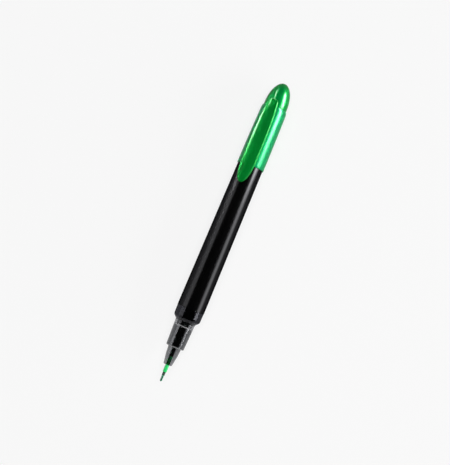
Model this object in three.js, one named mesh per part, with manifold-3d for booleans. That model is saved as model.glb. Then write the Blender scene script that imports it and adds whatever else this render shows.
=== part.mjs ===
// A dual tip marker lying on a table, with its fine tip bare and a cap on its broad tip.
// Units are millimetres. +X runs from the fine tip to the top of the cap, and +Z is up.
// The origin is on the table, under the middle of the marker.
import * as THREE from 'three';
import { mergeVertices } from 'three/addons/utils/BufferGeometryUtils.js';
import Module from 'manifold-3d';

const wasm = await Module();
wasm.setup();

// Clearances
const seatGap = 0.02; // between faces that seat on each other
const pressGap = 0.05; // round a piece that is pushed into its hole
const slideGap = 0.08; // round the pieces that the cap slides on
const looseGap = 0.1; // round the filled reservoir in its cups
const endGap = 0.3; // at the reservoir's ends
const rockGap = 0.3; // round the clip's tang, and under the cap's seal

// Flat sides round the outer pieces and round the slim inner ones
const outerSides = 40;
const innerSides = 24;

// Walls from the reservoir out to the barrel, which set the barrel's 11.5 mm
const reservoirDiameter = 6.5;
const filmWall = 0.15;
const insertWall = 1.05;
const barrelWall = 1.1;

// Barrel: level at its front, then tapered
const barrelLength = 63.1;
const barrelLevelLength = 4;
const barrelTaper = 0.36;
const barrelEdge = 0.12;

// Fine nib: a fibre point with a wider shank and a tail that meets the wick
const pointDiameter = 0.9;
const pointLength = 2.7;
const shankDiameter = 1.2;
const shankShownLength = 1.4;
const shankBevel = 0.2;
const tailDiameter = 1.85;
const tailInWick = 1.4;

// Green sleeve round the shank
const sleeveWall = 0.175;
const sleeveShownLength = 3.1;
const sleeveHiddenLength = 3.9;

// Fine section: cone, spigot, ramp and collar outside the barrel, and an insert inside it
const coneTipDiameter = 3.5;
const coneKinkDiameter = 4.95;
const coneRootDiameter = 5.45;
const coneSlimLength = 4.3;
const coneRootLength = 3.25;
const coneEdge = 0.15;
const spigotWall = 0.65;
const fineSpigotDraft = 0.43;
const fineSpigotLength = 10.85;
const spigotRim = 0.35;
const rampLength = 2.1;
const rampTopStep = 0.2;
const collarFrontStep = 0.13;
const collarRearStep = 0.07;
const collarLength = 3.7;
const collarEdge = 0.4;
const insertLength = 8;
const fineCupReach = 7.5; // of the cup ahead of the barrel

// Wick from the fine nib to the reservoir
const wickDiameter = 3.3;
const wickSetback = 0.5;
const wickInReservoir = 4.5;
const filmSetback = 0.8;

// Broad section and broad nib, under the cap
const flangeLength = 3;
const flangeRampLength = 0.8;
const broadSpigotDraft = 0.3;
const broadSpigotLength = 7.7;
const broadCupReach = 3;
const nozzleRootWall = 0.85;
const nozzleTipWall = 0.4;
const nozzleLength = 2.5;
const nozzleEdge = 0.2;
const broadNibDiameter = 4.2;
const broadNibShownLength = 4;
const broadNibStraightLength = 1.1;
const broadNibTipDiameter = 1.3;
const broadNibTipRound = 0.4;
const broadNibInReservoir = 4;

// Cap: a metallic tube with a bowed side and a rounded shoulder
const capMouthWall = 0.67;
const capMouthEdge = 0.15;
const capBow = 0.28;
const capShoulderLength = 1.8;
const capShoulderDrop = 0.42;

// Seal inside the cap
const sealWall = 0.45;
const sealEndWall = 0.8;
const sealEndGap = 0.2;
const tipRoom = 5.5; // from the broad nib to the seal's end wall

// Crown: the dome that plugs the cap's top
const crownStep = 0.11;
const crownSkirtLength = 1.25;
const crownPlugLength = 1.9;
const crownWall = 1.3;
const domeLength = 9.84;

// Clip: a long oval plate on a tang that stands in the crown's slot
const clipTurn = THREE.MathUtils.degToRad(14.5); // from straight up, towards +Y
const clipLength = 36.2;
const clipWidth = 6.6;
const clipThickness = 1;
const clipGap = 0.45; // from the cap's mouth to the plate
const clipWidestAt = 25; // from the plate's top end
const clipTopFullness = [2.8, 0.4];
const clipTipFullness = [1.7, 0.5];
const clipEdge = 0.4;
const clipDroop = 0.5;
const clipDroopLength = 4;
const tangWidth = 2.2;
const tangLength = 1.8;
const tangFromTop = 1.8;
const tangFootGap = 0.1;
const slotSetback = 0.25; // from the crown's base
const bumpFromTip = 3;
const bumpWidth = 1.9;
const bumpLength = 2.3;
const bumpGap = 0.2; // from the bump to the barrel
const bumpSink = 0.07; // of the bump's middle in the plate

// Radii, from the reservoir outwards
const filmInnerRadius = reservoirDiameter / 2 + pressGap;
const filmOuterRadius = filmInnerRadius + filmWall;
const cupRadius = filmOuterRadius + looseGap;
const insertRadius = cupRadius + insertWall;
const boreRadius = insertRadius + pressGap;
const restingRadius = boreRadius + barrelWall; // of the barrel's front and the cap's mouth, on the table
const barrelRearRadius = restingRadius - barrelTaper;
const spigotRootRadius = cupRadius + spigotWall;
const fineSpigotRadius = spigotRootRadius - fineSpigotDraft;
const broadSpigotRadius = spigotRootRadius - broadSpigotDraft;
const sleeveInnerRadius = shankDiameter / 2 + pressGap;
const sleeveOuterRadius = sleeveInnerRadius + sleeveWall;
const flangeBoreRadius = restingRadius - capMouthWall;
const flangeRadius = flangeBoreRadius - slideGap;
const sealInnerRadius = spigotRootRadius + slideGap;
const sealOuterRadius = sealInnerRadius + sealWall;
const capBoreRadius = sealOuterRadius + pressGap;
const capTopRadius = restingRadius - capBow;
const capShoulderRadius = capTopRadius - capShoulderDrop;
const crownRadius = capShoulderRadius - crownStep;
const crownCavityRadius = crownRadius - crownWall;
const clipUnderside = restingRadius + clipGap;
const clipBendRadius = clipUnderside + clipThickness; // the plate bends round the marker's axis

// Stations along the marker, counted from the fine tip
const sleeveFront = pointLength + shankShownLength;
const coneFront = sleeveFront + sleeveShownLength;
const sleeveRear = coneFront + sleeveHiddenLength;
const coneKink = coneFront + coneSlimLength;
const spigotFront = coneKink + coneRootLength;
const wickFront = spigotFront + wickSetback;
const tailRear = wickFront + tailInWick;
const spigotRoot = spigotFront + fineSpigotLength;
const rampTop = spigotRoot + rampLength;
const barrelFront = rampTop + collarLength;
const barrelRear = barrelFront + barrelLength;
const fineCupFloor = barrelFront - fineCupReach;
const broadCupFloor = barrelRear + broadCupReach;
const reservoirFront = fineCupFloor + endGap;
const reservoirRear = broadCupFloor - endGap;
const flangeFront = barrelRear + seatGap;
const flangeRear = flangeFront + flangeLength;
const broadSpigotRoot = flangeRear + flangeRampLength;
const broadSpigotFront = broadSpigotRoot + broadSpigotLength;
const nozzleFront = broadSpigotFront + nozzleLength;
const broadTip = nozzleFront + broadNibShownLength;
const capMouth = barrelRear + seatGap;
const sealMouth = broadSpigotRoot + rockGap;
const sealEnd = broadTip + tipRoom;
const plugEnd = sealEnd + sealEndWall + sealEndGap;
const crownBase = plugEnd + crownPlugLength;
const capTubeTop = crownBase - seatGap;
const domeBase = crownBase + crownSkirtLength;
const domeTop = domeBase + domeLength;
const tangStation = crownBase + slotSetback + rockGap + tangLength / 2;
const clipTop = tangStation + tangFromTop;
const bumpStation = clipTop - clipLength + bumpFromTip;

// A quarter ellipse that leaves one point along the marker and reaches the other square to it
function quarterRound([alongA, radiusA], [alongB, radiusB], steps) {
  const points = [];
  for (let i = 0; i <= steps; i++) {
    const angle = ((i / steps) * Math.PI) / 2;
    const along = alongA + (alongB - alongA) * Math.sin(angle);
    const radius = radiusB + (radiusA - radiusB) * Math.cos(angle);
    points.push([along, radius]);
  }
  return points;
}

// A ramp that leaves both of its ends along the marker, hollow at the low end and full at the high one
function smoothRamp([alongA, radiusA], [alongB, radiusB], steps) {
  const points = [];
  for (let i = 0; i <= steps; i++) {
    const share = i / steps;
    const rise = (1 - Math.cos(share * Math.PI)) / 2;
    points.push([alongA + (alongB - alongA) * share, radiusA + (radiusB - radiusA) * rise]);
  }
  return points;
}

// An outline of [along, radius] points turned round the marker's axis, with one flat side facing down
function turnedGeometry(outline, sides) {
  const points = outline.map(([along, radius]) => new THREE.Vector2(radius, along));
  return new THREE.LatheGeometry(points, sides, Math.PI / sides);
}

// A turned piece with a hole right through it, whose outline closes on itself
function turnedRing(outline, sides) {
  return turnedGeometry([...outline, outline[0]], sides);
}

function namedMesh(name, geometry, material) {
  const mesh = new THREE.Mesh(geometry, material);
  mesh.name = name;
  return mesh;
}

function toSolid(geometry) {
  const bare = geometry.clone();
  bare.deleteAttribute('normal');
  bare.deleteAttribute('uv');
  const merged = mergeVertices(bare, 1e-4);
  const triVerts = new Uint32Array(merged.index.array);
  const mesh = new wasm.Mesh({ numProp: 3, vertProperties: merged.attributes.position.array, triVerts });
  return new wasm.Manifold(mesh);
}

function toGeometry(solid) {
  const { vertProperties, triVerts } = solid.getMesh();
  const geometry = new THREE.BufferGeometry();
  geometry.setAttribute('position', new THREE.BufferAttribute(vertProperties, 3));
  geometry.setIndex(new THREE.BufferAttribute(triVerts, 1));
  geometry.computeVertexNormals();
  return geometry;
}

// The marker's own radius under the clip, on the tapered barrel or on the cap
function radiusUnderClip(along) {
  if (along + bumpLength / 2 > capMouth) {
    return restingRadius;
  }
  const taperStart = barrelFront + barrelLevelLength;
  const share = Math.max(0, (along - taperStart) / (barrelRear - taperStart));
  return restingRadius - barrelTaper * share;
}

function makeFineNib() {
  const point = pointDiameter / 2;
  const shank = shankDiameter / 2;
  const tail = tailDiameter / 2;
  const outline = [
    ...quarterRound([point, point], [0, 0], 4).reverse(),
    [pointLength - shankBevel, point],
    [pointLength, shank],
    [sleeveRear + seatGap, shank],
    [sleeveRear + seatGap, tail],
    [tailRear, tail],
    [tailRear, 0],
  ];
  const ink = new THREE.MeshStandardMaterial({ color: 0x145f3c, roughness: 0.7, metalness: 0 });
  return namedMesh('fine_nib', turnedGeometry(outline, innerSides), ink);
}

function makeFineNibSleeve() {
  const outline = [
    [sleeveFront, sleeveInnerRadius],
    [sleeveFront, sleeveOuterRadius],
    [sleeveRear, sleeveOuterRadius],
    [sleeveRear, sleeveInnerRadius],
  ];
  const green = new THREE.MeshStandardMaterial({ color: 0x1ed76e, roughness: 0.35, metalness: 0 });
  return namedMesh('fine_nib_sleeve', turnedRing(outline, innerSides), green);
}

function makeFineWick() {
  const socket = tailDiameter / 2 + pressGap;
  const wick = wickDiameter / 2;
  const rear = reservoirFront + wickInReservoir - seatGap;
  const outline = [
    [tailRear + seatGap, 0],
    [tailRear + seatGap, socket],
    [wickFront, socket],
    [wickFront, wick],
    [rear, wick],
    [rear, 0],
  ];
  const inkyFibre = new THREE.MeshStandardMaterial({ color: 0x10281c, roughness: 0.9, metalness: 0 });
  return namedMesh('fine_wick', turnedGeometry(outline, innerSides), inkyFibre);
}

function makeFineSection() {
  const sleeveBore = sleeveOuterRadius + pressGap;
  const tailBore = tailDiameter / 2 + pressGap;
  const wickBore = wickDiameter / 2 + pressGap;
  const insertRear = barrelFront + insertLength;
  const outline = [
    [coneFront, sleeveBore],
    [coneFront, coneTipDiameter / 2 - coneEdge],
    [coneFront + coneEdge, coneTipDiameter / 2],
    [coneKink, coneKinkDiameter / 2],
    [spigotFront, coneRootDiameter / 2],
    [spigotFront, fineSpigotRadius - spigotRim],
    [spigotFront + spigotRim, fineSpigotRadius],
    ...smoothRamp([spigotRoot, spigotRootRadius], [rampTop, restingRadius - rampTopStep], 6),
    [rampTop + collarEdge, restingRadius - collarFrontStep],
    [barrelFront - seatGap, restingRadius - collarRearStep],
    [barrelFront - seatGap, insertRadius],
    [insertRear, insertRadius],
    [insertRear, cupRadius],
    [fineCupFloor, cupRadius],
    [fineCupFloor, wickBore],
    [wickFront, wickBore],
    [wickFront, tailBore],
    [sleeveRear, tailBore],
    [sleeveRear, sleeveBore],
  ];
  const smoke = new THREE.MeshStandardMaterial({ color: 0x666a69, roughness: 0.25, metalness: 0 });
  return namedMesh('fine_section', turnedRing(outline, outerSides), smoke);
}

function makeBarrel() {
  const outline = [
    [barrelFront, restingRadius - barrelEdge],
    [barrelFront + barrelEdge, restingRadius],
    [barrelFront + barrelLevelLength, restingRadius],
    [barrelRear - barrelEdge, barrelRearRadius],
    [barrelRear, barrelRearRadius - barrelEdge],
    [barrelRear, boreRadius],
    [barrelFront, boreRadius],
  ];
  const black = new THREE.MeshStandardMaterial({ color: 0x0a0a0b, roughness: 0.18, metalness: 0 });
  return namedMesh('barrel', turnedRing(outline, outerSides), black);
}

function makeInkReservoir() {
  const radius = reservoirDiameter / 2;
  const wickHole = wickDiameter / 2 + pressGap;
  const nibHole = broadNibDiameter / 2 + pressGap;
  const wickHoleEnd = reservoirFront + wickInReservoir;
  const nibHoleEnd = reservoirRear - broadNibInReservoir;
  const outline = [
    [wickHoleEnd, 0],
    [wickHoleEnd, wickHole],
    [reservoirFront, wickHole],
    [reservoirFront, radius],
    [reservoirRear, radius],
    [reservoirRear, nibHole],
    [nibHoleEnd, nibHole],
    [nibHoleEnd, 0],
  ];
  const inkedFibre = new THREE.MeshStandardMaterial({ color: 0x0f5a38, roughness: 0.95, metalness: 0 });
  return namedMesh('ink_reservoir', turnedGeometry(outline, innerSides), inkedFibre);
}

function makeReservoirFilm() {
  const outline = [
    [reservoirFront + filmSetback, filmOuterRadius],
    [reservoirRear - filmSetback, filmOuterRadius],
    [reservoirRear - filmSetback, filmInnerRadius],
    [reservoirFront + filmSetback, filmInnerRadius],
  ];
  const film = new THREE.MeshStandardMaterial({ color: 0xd5dedb, roughness: 0.3, metalness: 0 });
  return namedMesh('reservoir_film', turnedRing(outline, innerSides), film);
}

function makeBroadSection() {
  const nibBore = broadNibDiameter / 2 + pressGap;
  const insertFront = barrelRear - insertLength;
  const outline = [
    [insertFront, cupRadius],
    [insertFront, insertRadius],
    [flangeFront, insertRadius],
    [flangeFront, flangeRadius],
    [flangeRear, flangeRadius],
    [broadSpigotRoot, spigotRootRadius],
    [broadSpigotFront - spigotRim, broadSpigotRadius],
    [broadSpigotFront, broadSpigotRadius - spigotRim],
    [broadSpigotFront, nibBore + nozzleRootWall],
    [nozzleFront - nozzleEdge, nibBore + nozzleTipWall],
    [nozzleFront, nibBore + nozzleTipWall - nozzleEdge],
    [nozzleFront, nibBore],
    [broadCupFloor, nibBore],
    [broadCupFloor, cupRadius],
  ];
  const smoke = new THREE.MeshStandardMaterial({ color: 0x5c605f, roughness: 0.25, metalness: 0 });
  return namedMesh('broad_section', turnedRing(outline, outerSides), smoke);
}

function makeBroadNib() {
  const radius = broadNibDiameter / 2;
  const tip = broadNibTipDiameter / 2;
  const rear = reservoirRear - broadNibInReservoir + seatGap;
  const outline = [
    [rear, 0],
    [rear, radius],
    [nozzleFront + broadNibStraightLength, radius],
    ...quarterRound([broadTip - broadNibTipRound, tip], [broadTip, 0], 4),
  ];
  const ink = new THREE.MeshStandardMaterial({ color: 0x145f3c, roughness: 0.75, metalness: 0 });
  return namedMesh('broad_nib', turnedGeometry(outline, innerSides), ink);
}

function makeCapTube() {
  const shoulder = capTubeTop - capShoulderLength;
  const side = [];
  const sideSteps = 6;
  for (let i = 0; i <= sideSteps; i++) {
    const share = i / sideSteps;
    const along = THREE.MathUtils.lerp(capMouth + capMouthEdge, shoulder, share);
    side.push([along, restingRadius - capBow * share ** 2]);
  }
  const outline = [
    [capMouth, restingRadius - capMouthEdge],
    ...side,
    ...quarterRound([shoulder, capTopRadius], [capTubeTop, capShoulderRadius], 5).slice(1),
    [capTubeTop, capBoreRadius],
    [sealMouth, capBoreRadius],
    [sealMouth, flangeBoreRadius],
    [capMouth, flangeBoreRadius],
  ];
  const metallicGreen = new THREE.MeshStandardMaterial({ color: 0x00a45e, roughness: 0.35, metalness: 0.85 });
  return namedMesh('cap_tube', turnedRing(outline, outerSides), metallicGreen);
}

function makeCapInnerSeal() {
  const outline = [
    [sealEnd, 0],
    [sealEnd, sealInnerRadius],
    [sealMouth + pressGap, sealInnerRadius],
    [sealMouth + pressGap, sealOuterRadius],
    [sealEnd + sealEndWall, sealOuterRadius],
    [sealEnd + sealEndWall, 0],
  ];
  const milky = new THREE.MeshStandardMaterial({ color: 0xd8dcda, roughness: 0.5, metalness: 0 });
  return namedMesh('cap_inner_seal', turnedGeometry(outline, outerSides), milky);
}

// The slot lets the tang rock, so it is wider than the tang all round
function crownSlot() {
  const width = tangWidth + 2 * rockGap;
  const length = tangLength + 2 * rockGap;
  const floor = crownCavityRadius - crownWall;
  const roof = crownRadius + crownWall;
  const slot = new THREE.BoxGeometry(width, length, roof - floor);
  slot.translate(0, tangStation, (roof + floor) / 2);
  slot.rotateY(-clipTurn);
  return slot;
}

function makeCapCrown() {
  const plugRadius = capBoreRadius - pressGap;
  const cavityTop = domeTop - crownWall;
  const outline = [
    ...quarterRound([domeBase, crownCavityRadius], [cavityTop, 0], 6).reverse(),
    [plugEnd, crownCavityRadius],
    [plugEnd, plugRadius],
    [crownBase, plugRadius],
    [crownBase, crownRadius],
    ...quarterRound([domeBase, crownRadius], [domeTop, 0], 10),
  ];
  const dome = toSolid(turnedGeometry(outline, outerSides));
  const slotted = toGeometry(dome.subtract(toSolid(crownSlot())));
  const glossyGreen = new THREE.MeshStandardMaterial({ color: 0x007a42, roughness: 0.15, metalness: 0.3 });
  return namedMesh('cap_crown', slotted, glossyGreen);
}

// Half the plate's width, full in the middle and round at both ends
function clipHalfWidth(fromTop) {
  const towardsTop = fromTop < clipWidestAt;
  const reach = towardsTop ? clipWidestAt : clipLength - clipWidestAt;
  const [power, root] = towardsTop ? clipTopFullness : clipTipFullness;
  const share = Math.abs(fromTop - clipWidestAt) / reach;
  return (clipWidth / 2) * (1 - share ** power) ** root;
}

// The closed section of the plate at one place: over the top, round one edge, back under and round the other
function clipSection(fromTop) {
  const fromEnd = Math.min(fromTop, clipLength - fromTop);
  const endShare = Math.max(0, 1 - fromEnd / clipEdge);
  const half = (clipThickness / 2) * Math.sqrt(1 - endShare ** 2);
  const halfWidth = clipHalfWidth(fromTop);
  const edge = Math.min(clipEdge, 0.8 * halfWidth);
  const droop = clipDroop * Math.max(0, 1 - fromTop / clipDroopLength) ** 2;
  const middle = clipUnderside + clipThickness / 2 - droop;
  const faceSteps = 6;
  const edgeSteps = 4;
  const place = (across, lift) => {
    const fall = clipBendRadius - Math.sqrt(clipBendRadius ** 2 - across ** 2);
    return new THREE.Vector3(across, clipTop - fromTop, middle - fall + lift);
  };
  const ring = [];
  for (const side of [1, -1]) {
    for (let i = 0; i <= faceSteps; i++) {
      ring.push(place(side * (halfWidth - edge) * ((2 * i) / faceSteps - 1), side * half));
    }
    for (let i = 1; i < edgeSteps; i++) {
      const angle = (i / edgeSteps) * Math.PI;
      const across = side * (halfWidth - edge + edge * Math.sin(angle));
      ring.push(place(across, side * half * Math.cos(angle)));
    }
  }
  return ring;
}

function middleOf(ring) {
  return ring.reduce((sum, point) => sum.add(point), new THREE.Vector3()).divideScalar(ring.length);
}

// A closed skin over a row of rings that have the same number of points, with a fan over each end
function loftedGeometry(rings) {
  const count = rings[0].length;
  const last = (rings.length - 1) * count;
  const firstMiddle = rings.length * count;
  const lastMiddle = firstMiddle + 1;
  const index = [];
  for (let j = 0; j < count; j++) {
    const next = (j + 1) % count;
    for (let row = 0; row < last; row += count) {
      index.push(row + j, row + count + j, row + next, row + next, row + count + j, row + count + next);
    }
    index.push(firstMiddle, j, next);
    index.push(lastMiddle, last + next, last + j);
  }
  const points = [...rings.flat(), middleOf(rings.at(0)), middleOf(rings.at(-1))];
  const geometry = new THREE.BufferGeometry().setFromPoints(points);
  geometry.setIndex(index);
  return geometry;
}

function clipPlate() {
  const stations = 26;
  const endInset = 0.1;
  const rings = [];
  for (let i = 0; i <= stations; i++) {
    const share = (1 - Math.cos((i / stations) * Math.PI)) / 2;
    rings.push(clipSection(THREE.MathUtils.lerp(endInset, clipLength - endInset, share)));
  }
  return loftedGeometry(rings);
}

function clipTang() {
  const foot = crownCavityRadius + tangFootGap;
  const head = clipUnderside + clipThickness / 2;
  const tang = new THREE.BoxGeometry(tangWidth, tangLength, head - foot);
  tang.translate(0, tangStation, (head + foot) / 2);
  return tang;
}

function clipBump() {
  const middle = clipUnderside + bumpSink;
  const drop = middle - radiusUnderClip(bumpStation) - bumpGap;
  const bump = new THREE.SphereGeometry(1, 16, 10);
  bump.scale(bumpWidth / 2, bumpLength / 2, drop);
  bump.translate(0, bumpStation, middle);
  return bump;
}

function makeClip() {
  const solid = toSolid(clipPlate()).add(toSolid(clipTang())).add(toSolid(clipBump()));
  const darkGreen = new THREE.MeshStandardMaterial({ color: 0x006a38, roughness: 0.3, metalness: 0.5 });
  const turned = new THREE.Group();
  turned.rotation.y = -clipTurn;
  turned.add(namedMesh('clip', toGeometry(solid), darkGreen));
  return turned;
}

// Every piece is made along its own Y, and this group lays that axis along +X
function makeMarker() {
  const marker = new THREE.Group();
  marker.rotation.z = -Math.PI / 2;
  marker.position.x = -domeTop / 2;
  marker.position.z = restingRadius * Math.cos(Math.PI / outerSides);
  marker.add(makeBarrel(), makeInkReservoir(), makeReservoirFilm());
  marker.add(makeFineSection(), makeFineWick(), makeFineNib(), makeFineNibSleeve());
  marker.add(makeBroadSection(), makeBroadNib());
  marker.add(makeCapTube(), makeCapInnerSeal(), makeCapCrown(), makeClip());
  return marker;
}

const root = new THREE.Group();
root.add(makeMarker());

export default root;
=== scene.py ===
# A dual tip marker on a pale studio floor, with its fine tip bare and a cap on its broad tip.
# Metres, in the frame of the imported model: +X runs from the fine tip to the top of the cap, +Z is up.
import math

import bmesh
import bpy
from mathutils import Matrix, Vector


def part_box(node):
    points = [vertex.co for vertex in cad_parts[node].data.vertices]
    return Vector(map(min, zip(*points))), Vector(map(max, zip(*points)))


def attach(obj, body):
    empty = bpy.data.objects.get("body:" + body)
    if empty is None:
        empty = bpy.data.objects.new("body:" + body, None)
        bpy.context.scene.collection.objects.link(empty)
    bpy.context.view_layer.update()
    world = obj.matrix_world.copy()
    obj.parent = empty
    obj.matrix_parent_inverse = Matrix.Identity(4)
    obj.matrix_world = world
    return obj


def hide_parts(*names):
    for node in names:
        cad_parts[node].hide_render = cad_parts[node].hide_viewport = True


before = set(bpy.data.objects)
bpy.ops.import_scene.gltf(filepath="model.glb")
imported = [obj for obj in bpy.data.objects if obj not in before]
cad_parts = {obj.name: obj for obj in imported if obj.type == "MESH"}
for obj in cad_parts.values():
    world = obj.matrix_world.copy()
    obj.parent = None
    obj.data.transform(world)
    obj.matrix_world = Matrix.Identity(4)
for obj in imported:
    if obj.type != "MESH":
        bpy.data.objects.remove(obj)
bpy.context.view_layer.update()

MM = 0.001

# Ends of the nodes along the marker, from the frame
barrel_low, barrel_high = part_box("barrel")
AXIS_Z = (barrel_low.z + barrel_high.z) / 2
BARREL_FRONT = barrel_low.x
BARREL_REAR = barrel_high.x
FINE_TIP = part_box("fine_nib")[0].x
TAIL_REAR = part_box("fine_nib")[1].x
SLEEVE_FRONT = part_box("fine_nib_sleeve")[0].x
SLEEVE_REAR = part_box("fine_nib_sleeve")[1].x
WICK_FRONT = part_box("fine_wick")[0].x
WICK_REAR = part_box("fine_wick")[1].x
CONE_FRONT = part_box("fine_section")[0].x
INSERT_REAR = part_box("fine_section")[1].x
RESERVOIR_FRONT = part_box("ink_reservoir")[0].x
RESERVOIR_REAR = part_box("ink_reservoir")[1].x
FILM_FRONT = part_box("reservoir_film")[0].x
FILM_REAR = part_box("reservoir_film")[1].x
BROAD_INSERT_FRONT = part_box("broad_section")[0].x
NOZZLE_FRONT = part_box("broad_section")[1].x
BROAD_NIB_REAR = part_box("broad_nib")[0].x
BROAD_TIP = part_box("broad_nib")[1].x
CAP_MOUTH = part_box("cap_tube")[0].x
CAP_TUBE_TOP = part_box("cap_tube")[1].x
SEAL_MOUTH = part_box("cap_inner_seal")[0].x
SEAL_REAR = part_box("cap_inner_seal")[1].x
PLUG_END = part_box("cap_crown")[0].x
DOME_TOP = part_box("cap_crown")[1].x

# The visible clip lies a little nearer the fine tip than its solid
CLIP_END_ROUND = 0.1 * MM
CLIP_TIP_SHIFT = 1.5 * MM
CLIP_TOP_SHIFT = 0.7 * MM
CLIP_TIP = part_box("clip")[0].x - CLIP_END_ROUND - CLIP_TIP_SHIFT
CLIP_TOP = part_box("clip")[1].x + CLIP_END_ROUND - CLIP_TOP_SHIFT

# Radii and gaps
POINT_RADIUS = 0.45 * MM
SHANK_RADIUS = 0.6 * MM
SLEEVE_INNER_RADIUS = 0.65 * MM
SLEEVE_RADIUS = 0.825 * MM
TAIL_RADIUS = 0.925 * MM
WICK_RADIUS = 1.65 * MM
BROAD_NIB_RADIUS = 2.1 * MM
RESERVOIR_RADIUS = 3.25 * MM
FILM_INNER_RADIUS = 3.3 * MM
FILM_RADIUS = 3.45 * MM
CUP_RADIUS = 3.55 * MM
FINE_SPIGOT_RADIUS = 3.77 * MM
BROAD_SPIGOT_RADIUS = 3.9 * MM
SPIGOT_ROOT_RADIUS = 4.2 * MM
SEAL_INNER_RADIUS = 4.28 * MM
INSERT_RADIUS = 4.6 * MM
BARREL_BORE_RADIUS = 4.65 * MM
SEAL_RADIUS = 4.73 * MM
CAP_BORE_RADIUS = 4.78 * MM
FLANGE_RADIUS = 5.0 * MM
FLANGE_BORE_RADIUS = 5.08 * MM
RESTING_RADIUS = 5.75 * MM
PRESS_GAP = 0.05 * MM
END_GAP = 0.02 * MM

# Barrel
BARREL_LEVEL_LENGTH = 4 * MM
BARREL_TAPER = 0.36 * MM
BARREL_FILLET = 0.14 * MM

# Fine section
CONE_TIP_RADIUS = 1.75 * MM
CONE_KINK_RADIUS = 2.475 * MM
CONE_ROOT_RADIUS = 2.725 * MM
CONE_SLIM_LENGTH = 4.3 * MM
CONE_LENGTH = 7.55 * MM
FINE_SPIGOT_LENGTH = 10.85 * MM
RAMP_LENGTH = 2.1 * MM
RAMP_TOP_STEP = 0.2 * MM
COLLAR_FRONT_STEP = 0.13 * MM
COLLAR_REAR_STEP = 0.07 * MM
COLLAR_EDGE = 0.4 * MM
FINE_CUP_REACH = 7.5 * MM
# Inset of the painted highlight rings from the spigots' front ends
HIGHLIGHT_RING_INSET = 0.2 * MM

# Fine nib
POINT_LENGTH = 2.7 * MM
POINT_BEVEL = 0.2 * MM
POINT_WET_LENGTH = 0.5 * MM

# Broad section and nib
FLANGE_LENGTH = 3 * MM
FLANGE_RAMP_LENGTH = 0.8 * MM
BROAD_SPIGOT_LENGTH = 7.7 * MM
BROAD_CUP_REACH = 3 * MM
NOZZLE_ROOT_WALL = 0.85 * MM
NOZZLE_WALL = 0.4 * MM
BROAD_NIB_TIP_RADIUS = 0.65 * MM
BROAD_NIB_TIP_ROUND = 0.4 * MM
BROAD_NIB_STRAIGHT = 1.1 * MM

# Cap
CAP_BOW = 0.28 * MM
CAP_SHOULDER_LENGTH = 1.8 * MM
CAP_SHOULDER_DROP = 0.42 * MM
SEAL_END_WALL = 0.8 * MM
CROWN_RADIUS = 4.94 * MM
CROWN_WALL = 1.3 * MM
CROWN_BASE = CAP_TUBE_TOP + END_GAP
CROWN_SKIRT_LENGTH = 1.25 * MM

# Clip
CLIP_TURN = math.radians(14.5)
CLIP_WIDTH = 6.4 * MM
CLIP_THICKNESS = 1 * MM
CLIP_GAP = 0.45 * MM
CLIP_WIDEST_AT = 26.7 * MM
CLIP_TOP_FULLNESS = (2.5, 0.22)
CLIP_TIP_FULLNESS = (2.1, 0.46)
CLIP_FILLET = 0.42 * MM
CLIP_DROOP = 0.8 * MM
CLIP_DROOP_LENGTH = 5 * MM
TANG_WIDTH = 1.8 * MM
TANG_LENGTH = 1.5 * MM
TANG_FROM_TOP = 1.1 * MM
TANG_FOOT_GAP = 0.1 * MM
TANG_BEVEL = 0.12 * MM
SLOT_ROOM = 0.3 * MM
SLOT_BEVEL = 0.15 * MM
BUMP_FROM_TIP = 3 * MM
BUMP_WIDTH = 1.9 * MM
BUMP_LENGTH = 2.3 * MM
BUMP_DEPTH = 0.35 * MM
BUMP_RISE = 0.07 * MM

SMOKE_DENSITY = 340  # per metre of smoky plastic
SIDES = 144
SLIM_SIDES = 72
FILLET_STEPS = 6
FILLET_SHARE = 0.48  # the most that a fillet takes of the line on each side of it


# Outlines and turned meshes


def filleted(outline, closed):
    """The corners (along, radius, fillet) as a fine outline, with an arc for each fillet."""
    points = []
    count = len(outline)
    for i, (along, radius, fillet) in enumerate(outline):
        corner = Vector((along, radius))
        if fillet == 0 or (not closed and i in (0, count - 1)):
            points.append(corner)
            continue
        back = Vector(outline[i - 1][:2]) - corner
        ahead = Vector(outline[(i + 1) % count][:2]) - corner
        half = back.angle(ahead) / 2
        reach = min(fillet / math.tan(half), FILLET_SHARE * back.length, FILLET_SHARE * ahead.length)
        bend = reach * math.tan(half)
        back.normalize()
        ahead.normalize()
        centre = corner + (back + ahead).normalized() * (bend / math.sin(half))
        start = corner + back * reach - centre
        end = corner + ahead * reach - centre
        turn = start.angle(end)
        for step in range(FILLET_STEPS + 1):
            share = step / FILLET_STEPS
            arm = start * math.sin((1 - share) * turn) + end * math.sin(share * turn)
            points.append(centre + arm / math.sin(turn))
    return points


def quarter_round(start, end, steps):
    """A quarter ellipse that leaves start along the marker and reaches end square to it."""
    points = []
    for step in range(steps + 1):
        angle = step / steps * math.pi / 2
        along = start[0] + (end[0] - start[0]) * math.sin(angle)
        radius = end[1] + (start[1] - end[1]) * math.cos(angle)
        points.append((along, radius, 0))
    return points


def smooth_ramp(start, end, steps):
    """A ramp that leaves both of its ends along the marker."""
    points = []
    for step in range(steps + 1):
        share = step / steps
        rise = (1 - math.cos(share * math.pi)) / 2
        along = start[0] + (end[0] - start[0]) * share
        points.append((along, start[1] + (end[1] - start[1]) * rise, 0))
    return points


def ring_of(mesh, along, radius, sides):
    """A ring of vertices round the marker's axis, or one vertex on it."""
    if radius < 1e-7:
        return [mesh.verts.new((along, 0, AXIS_Z))]
    ring = []
    for side in range(sides):
        angle = 2 * math.pi * side / sides
        place = (along, radius * math.sin(angle), AXIS_Z + radius * math.cos(angle))
        ring.append(mesh.verts.new(place))
    return ring


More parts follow.
